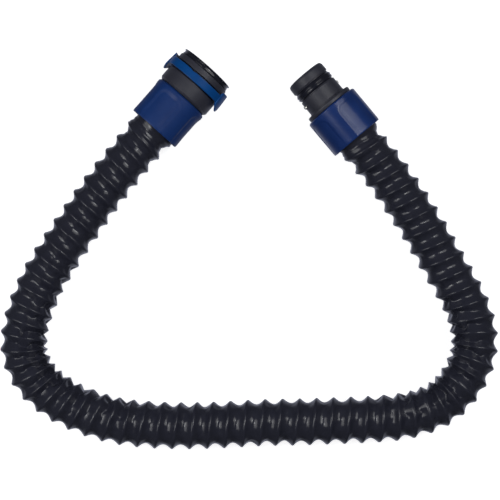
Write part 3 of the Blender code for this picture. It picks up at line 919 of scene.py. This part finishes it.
# ---------------------------------------------------------------- swivel socket

SOCKET_SIDES = 216


def parting_line(width=0.45, height=0.09):
    """A raised mould line along the front and the back, as relief for turned()."""

    def relief(angle, radius, _):
        off_front = np.abs((angle % math.pi) - math.pi / 2) * radius
        return height * np.clip(1 - off_front / width, 0, 1) * (radius > 22.0)

    return relief


def make_socket():
    """The socket: floor, bore for the spigot, groove for the release band, two catch windows."""
    corners = [
        (21.4, 60.6, 0.2),
        (21.4, 55.6, 0.1),
        (22.2, 55.6, 0.2),
        (22.2, 47.3, 0.3),
        (23.6, 47.3, 0.4),
        (23.6, 36.2, 0.5),
        (22.1, 34.4, 0.5),
        (17.3, 34.4, 0.3),
        (17.3, 38.5, 0.2),
        (19.2, 38.5, 0.2),
        (19.2, 41.2, 0.2),
        (20.3, 41.2, 0.2),
        (20.3, 60.6, 0.5),
    ]
    shell_outline = divided(rounded(corners), 2.0)
    socket = turned("socket", shell_outline, HEADGEAR, SOCKET_SIDES, parting_line())
    windows = []
    for middle in (22.0, -22.0):
        low, high = (-5.5, middle - 4.0, 49.3), (5.5, middle + 4.0, 53.1)
        windows.append(box_shape("window", low, high, HEADGEAR, 0.4))
    return smooth(cut(socket, *windows), 35)


def make_cap():
    """The matt ring between the release band and the lip seal."""
    corners = [
        (22.6, 61.2, 0.2),
        (23.6, 60.6, 0.6),
        (23.8, 55.9, 0.35),
        (21.7, 55.9, 0.1),
        (21.7, 60.9, 0.1),
        (21.2, 60.9, 0.1),
        (21.2, 61.2, 0.1),
    ]
    return turned("cap", divided(rounded(corners), 2.0), HEADGEAR, SOCKET_SIDES, parting_line())


def make_lip():
    """The glossy lip seal: a rolled shoulder, a hollow neck, and a thin flared lip at the mouth."""
    corners = [
        (22.7, 65.3, 0.2),
        (23.7, 65.0, 0.2),
        (22.5, 63.8, 0.7),
        (22.6, 63.1, 0.8),
        (23.15, 61.25, 0.5),
        (20.9, 61.25, 0.1),
        (20.0, 61.25, 0.2),
        (20.0, 63.0, 0.4),
        (21.6, 65.0, 0.3),
    ]
    return turned("lip_seal", rounded(corners), HEADGEAR, SOCKET_SIDES)


FACE_SEAL = [(20.0, 43.1, 0.3), (20.0, 41.5, 0.1), (16.5, 41.5, 0.1), (16.5, 43.1, 0.4)]

finish_piece(make_socket(), "fitting_black", "socket", "socket_body")
finish_piece(make_cap(), "fitting_black", "socket", "socket_cap")
finish_piece(make_lip(), "seal_rubber", "socket", "socket_mouth_seal")
finish_piece(
    turned("face_seal", rounded(FACE_SEAL), HEADGEAR, 128),
    "seal_rubber",
    "socket",
    "socket_face_seal",
)


# ---------------------------------------------------------------- release band

BAND_LOW, BAND_HIGH = 48.2, 54.9
BAND_HALF_LENGTH, BAND_HALF_DEPTH = 25.0, 23.0  # of the oval's inside
BAND_SPLIT = 20.5  # where tabs and catches meet
TAB_STILL = 24.4  # where a tab's outer part begins, from the middle
BAND_VOXEL = 0.00028
TAB_HALF_WIDTH = 8.0
TAB_TAPER = 5.6  # how far the tab's lower end rises from its middle to its sides
TAB_BOW = 24.0  # radius of the tab as seen from the mouth
CATCH_HALF_WIDTH = 5.0
CATCH_TIP, CATCH_ROOT = 19.3, 23.9
CATCH_LOW, CATCH_HIGH = 49.7, 52.7
CATCH_BEND = 16.7  # just beyond the band's outside at the split


def make_oval_band():
    """The springy oval band with a small notch in its top edge at the front and the back."""
    corners = [
        (1.0, BAND_HIGH, 0.45),
        (1.0, BAND_LOW, 0.45),
        (0.0, BAND_LOW, 0.45),
        (0.0, BAND_HIGH, 0.45),
    ]
    sides = 300
    section = divided(rounded([(w * 2.0, z, r) for w, z, r in corners]), 1.2)
    angle = np.arange(sides) * 2 * math.pi / sides
    across, height = section[:, 0] / 2.0, section[:, 1]
    half_x = BAND_HALF_LENGTH + 2.2 * across
    half_y = BAND_HALF_DEPTH + 1.9 * across
    x = np.cos(angle)[:, None] * half_x[None, :]
    y = np.sin(angle)[:, None] * half_y[None, :]
    notch = np.clip(1 - np.abs(x) / 3.2, 0, 1) * 0.7
    z = height[None, :] - notch * (height[None, :] > BAND_HIGH - 0.5)
    vertices = np.stack([x, y, z], axis=-1).reshape(-1, 3) * MM
    band = new_mesh_object("band", vertices, ring_faces(sides, len(section)))
    band.matrix_world = HEADGEAR
    return band


def make_tab_plate(side):
    """A thumb tab: a thin bent plate above and below the band, with a hollowed root under it."""
    arc = np.radians(np.linspace(0, 88, 9))
    hollow = [(26.2 + 1.3 * (1 - math.cos(a)), 47.0 - 4.7 * math.sin(a)) for a in arc]
    outline = [(26.3, 58.2), (27.3, 58.5), (27.95, 50.5), (28.2, 42.2)]
    outline += [*reversed(hollow), (25.3, 47.9), (25.3, 55.0), (26.1, 55.6)]
    outline = np.array(outline)
    steps = np.linspace(-1, 1, 25)
    low, middle, high = outline[:, 1].min(), 50.0, outline[:, 1].max()
    vertices = []
    for t in steps:
        off = abs(t) * TAB_HALF_WIDTH
        raised = TAB_TAPER * (math.hypot(t, 0.3) - 0.3) + 0.9 * smooth_step(0.82, 1.0, abs(t))
        dropped = 1.0 * smooth_step(0.75, 1.0, abs(t))
        bowed = outline.copy()
        heights = outline[:, 1]
        below = (middle - heights) / (middle - low)
        above = (heights - middle) / (high - middle)
        bowed[:, 1] = heights + np.where(below > 0, below * raised, -above * dropped)
        bowed[:, 0] -= off**2 / (2 * TAB_BOW)
        vertices.extend((side * p[0] * MM, t * TAB_HALF_WIDTH * MM, p[1] * MM) for p in bowed)
    faces = tube_faces(len(steps), len(outline)) + tube_ends(len(steps), len(outline))
    plate = new_mesh_object("tab_plate", vertices, faces)
    plate.matrix_world = HEADGEAR
    turn_faces_outwards(plate)
    return plate


def make_whole_band():
    """Band, tabs and catch teeth grown together with soft fillets."""
    band = make_oval_band()
    helpers = [make_tab_plate(1), make_tab_plate(-1)]
    for sign in (1, -1):
        near, far = sorted((sign * CATCH_TIP, sign * CATCH_ROOT))
        low, high = (-CATCH_HALF_WIDTH, near, CATCH_LOW), (CATCH_HALF_WIDTH, far, CATCH_HIGH)
        helpers.append(box_shape("tooth", low, high, HEADGEAR, 0.5))
    for helper in helpers:
        union = band.modifiers.new("union", "BOOLEAN")
        union.operation = "UNION"
        union.solver = "EXACT"
        union.object = helper
    remesh = band.modifiers.new("remesh", "REMESH")
    remesh.mode = "VOXEL"
    remesh.voxel_size = BAND_VOXEL
    relax = band.modifiers.new("relax", "SMOOTH")
    relax.factor = 0.5
    relax.iterations = 6
    return settle(band, *helpers)


def cut_stretch(whole, name, sides_and_planes):
    """A copy of the band without what lies past the planes, each a local normal and point."""
    mesh = whole.data.copy()
    shape = bmesh.new()
    shape.from_mesh(mesh)
    for normal, point in sides_and_planes:
        geometry = [*shape.verts, *shape.edges, *shape.faces]
        result = bmesh.ops.bisect_plane(
            shape, geom=geometry, plane_co=Vector(point) * MM, plane_no=normal, clear_outer=True
        )
        rim = [e for e in result["geom_cut"] if isinstance(e, bmesh.types.BMEdge)]
        bmesh.ops.holes_fill(shape, edges=rim)
    bmesh.ops.triangulate(shape, faces=[f for f in shape.faces if len(f.verts) > 4])
    shape.to_mesh(mesh)
    shape.free()
    obj = bpy.data.objects.new(name, mesh)
    bpy.context.scene.collection.objects.link(obj)
    obj.matrix_world = whole.matrix_world
    return smooth(obj, 60)


def make_release_pieces():
    """The four stretches of the band, cut from the whole band at the splits."""
    whole = make_whole_band()
    right = (BAND_SPLIT, 0, 0)
    left = (-BAND_SPLIT, 0, 0)
    to_right, to_front = Vector((1, 0, 0)), Vector((0, 1, 0))
    between_tabs = [(to_right, right), (-to_right, left)]
    tabs = (BAND_SPLIT, TAB_STILL)
    catches = (CATCH_BEND, CATCH_TIP)
    pieces = [
        ("release_left", "tab_left", "release_tab_left", [(-to_right, right)], (1, 0), tabs),
        ("release_right", "tab_right", "release_tab_right", [(to_right, left)], (-1, 0), tabs),
        (
            *("release_front", "catch_front", "release_band_front"),
            *([*between_tabs, (-to_front, (0, 0, 0))], (0, 1), catches),
        ),
        (
            *("release_back", "catch_back", "release_band_back"),
            *([*between_tabs, (to_front, (0, 0, 0))], (0, -1), catches),
        ),
    ]
    for name, body, node, planes, (x, y), (start, end) in pieces:
        piece = cut_stretch(whole, name, planes)
        finish_piece(piece, "release_blue", None, node)
        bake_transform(piece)
    bpy.data.objects.remove(whole)


make_release_pieces()


# ---------------------------------------------------------------- bayonet plug

PIN_ANGLE = math.radians(-15)
PIN_HEIGHT = 45.3
PIN_RADIUS = 1.5
PIN_ROOT = 14.8
PIN_TIP = 18.4


def make_plug():
    """The plug: hose tail, rounded flange, barrel, seal groove, rounded nose, and two pin holes."""
    corners = [
        (14.2, 66.5, 0.5),
        (15.7, 66.0, 1.0),
        (16.5, 64.2, 1.6),
        (16.65, 58.4, 0.35),
        (15.7, 58.1, 0.25),
        (15.7, 57.4, 0.1),
        (14.6, 57.4, 0.1),
        (14.6, 50.7, 0.1),
        (15.6, 50.7, 0.1),
        (15.6, 50.2, 0.2),
        (16.6, 49.9, 0.35),
        (16.6, 38.2, 0.5),
        (17.0, 37.7, 0.3),
        (17.0, 37.0, 0.3),
        (20.2, 37.0, 0.9),
        (20.6, 35.6, 1.0),
        (20.3, 33.4, 0.4),
        (17.0, 33.4, 0.1),
        (17.0, 25.8, 0.3),
        (14.6, 24.5, 0.5),
        (14.6, 3.5, 0.5),
        (13.8, 2.0, 0.3),
        (12.8, 2.0, 0.4),
        (12.8, 66.5, 0.5),
    ]
    plug = turned("plug", divided(rounded(corners), 2.0), BLOWER, 192)
    holes = []
    for turn in (0, math.pi):
        axes = BLOWER @ Matrix.Rotation(PIN_ANGLE + turn, 4, "Z")
        hole = turned_rod("hole", PIN_RADIUS + 0.12, PIN_ROOT - 0.2, 20.0, axes)
        holes.append(hole)
    return smooth(cut(plug, *holes), 35)


def turned_rod(name, radius, start, end, axes, dome=0.0):
    """A rod along the local X at the pins' height, with a domed tip if asked, in millimetres."""
    sides = 40
    rings = [(start, radius)]
    if dome:
        for a in np.radians(np.linspace(0, 80, 8)):
            rings.append((end - dome * (1 - math.sin(a)), radius * math.cos(a) ** 0.6))
    else:
        rings.append((end, radius))
    vertices = []
    for x, r in rings:
        for k in range(sides):
            a = 2 * math.pi * k / sides
            vertices.append((x * MM, r * math.cos(a) * MM, (PIN_HEIGHT + r * math.sin(a)) * MM))
    faces = tube_faces(len(rings), sides) + tube_ends(len(rings), sides)
    rod = new_mesh_object(name, vertices, faces)
    rod.matrix_world = axes
    turn_faces_outwards(rod)
    return rod


def make_plug_seal():
    """A glossy seal with two rounded beads."""
    corners = [
        (15.2, 57.3, 0.2),
        (15.7, 57.0, 0.4),
        (17.1, 54.7, 0.8),
        (16.5, 53.6, 0.6),
        (17.0, 52.3, 0.8),
        (15.8, 50.9, 0.4),
        (15.0, 50.8, 0.2),
        (14.7, 57.3, 0.1),
    ]
    return turned("plug_seal", rounded(corners), BLOWER, 192)


finish_piece(make_plug(), "fitting_black", "hose", "plug_body")
finish_piece(make_plug_seal(), "seal_rubber", "hose", "plug_o_ring")
for number, turn in ((1, 0), (2, math.pi)):
    pin_axes = BLOWER @ Matrix.Rotation(PIN_ANGLE + turn, 4, "Z")
    pin = smooth(turned_rod(f"pin_{number}", PIN_RADIUS, PIN_ROOT, PIN_TIP, pin_axes, dome=0.8))
    finish_piece(pin, "pin_steel", "hose", f"bayonet_pin_{number}")
